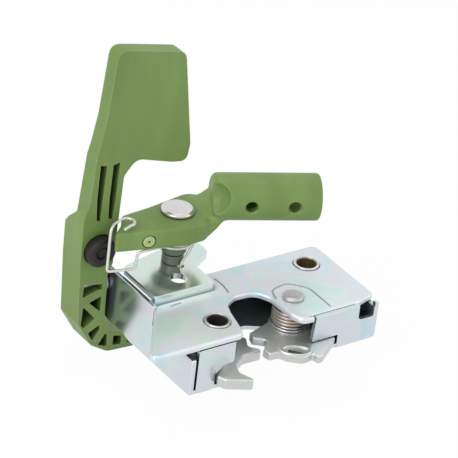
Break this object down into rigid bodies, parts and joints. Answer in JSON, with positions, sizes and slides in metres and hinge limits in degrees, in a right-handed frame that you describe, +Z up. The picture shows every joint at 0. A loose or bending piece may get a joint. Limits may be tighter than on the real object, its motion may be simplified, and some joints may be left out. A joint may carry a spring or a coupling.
{
  "type": "car door lock",
  "caption": "Folded steel rotary door latch with a claw and a rotor at its throat, a swing arm with a tube end, and a tall ribbed pull paddle.",
  "frame": {"origin": "axis of the front bush at the cover plate's top face", "axes": "+Z up out of the cover plate, +X along the case to the right, striker enters from -Y"},
  "size_m": [0.1108, 0.0849, 0.1411],
  "materials": {
    "zinc": "zinc plated sheet, satin",
    "forged": "plated forging, satin",
    "bright": "turned and plated, bright",
    "wire": "drawn spring wire",
    "green": "moulded, fine matt",
    "lime": "moulded, pale",
    "black": "moulded, dull"
  },
  "bodies": {
    "case": {"cover_plate": "zinc", "lower_tray": "zinc", "arm_bracket": "zinc", "front_bush": "bright", "rear_bush": "bright", "rotor_rivet": "bright", "arm_rivet": "bright", "paddle_pin": "bright", "pin_washer": "bright", "lower_washer": "bright", "upper_washer": "bright", "spring_sleeve": "forged", "claw_spacer": "forged", "pawl_spacer": "forged", "arm_sleeve": "forged", "arm_spacer": "forged", "rotor_spring": "wire", "claw_spring": "wire", "pawl_spring": "wire", "arm_spring": "wire"},
    "claw": {"left_claw": "forged"},
    "rotor": {"right_rotor": "forged"},
    "pawl": {"pawl": "forged"},
    "arm": {"swing_arm": "green", "arm_plug": "lime"},
    "paddle": {"paddle": "green", "bumper_plug": "black", "bumper_screw": "black"}
  },
  "joints": [
    {"name": "claw_turn", "type": "hinge", "parent": "case", "child": "claw", "pos_m": [0, 0, -0.018], "axis": [0, 0, 1], "range_deg": [0, 45]},
    {"name": "rotor_turn", "type": "hinge", "parent": "case", "child": "rotor", "pos_m": [0.0384, 0.0016, -0.0137], "axis": [0, 0, -1], "range_deg": [0, 45]},
    {"name": "pawl_turn", "type": "hinge", "parent": "case", "child": "pawl", "pos_m": [0.0588, 0.0208, -0.0137], "axis": [0, 0, 1], "range_deg": [0, 10]},
    {"name": "paddle_pull", "type": "hinge", "parent": "case", "child": "paddle", "pos_m": [-0.027, 0.0536, -0.006], "axis": [1, 0, 0], "range_deg": [0, 14], "deforming": ["arm_spring"]},
    {"name": "arm_swing", "type": "hinge", "parent": "case", "child": "arm", "pos_m": [0.0052, 0.0412, 0.0225], "axis": [0, 0, 1], "range_deg": [0, 12.6]}
  ],
  "couplings": [
    {"joint": "arm_swing", "follows": "paddle_pull", "ratio": 0.9}
  ]
}
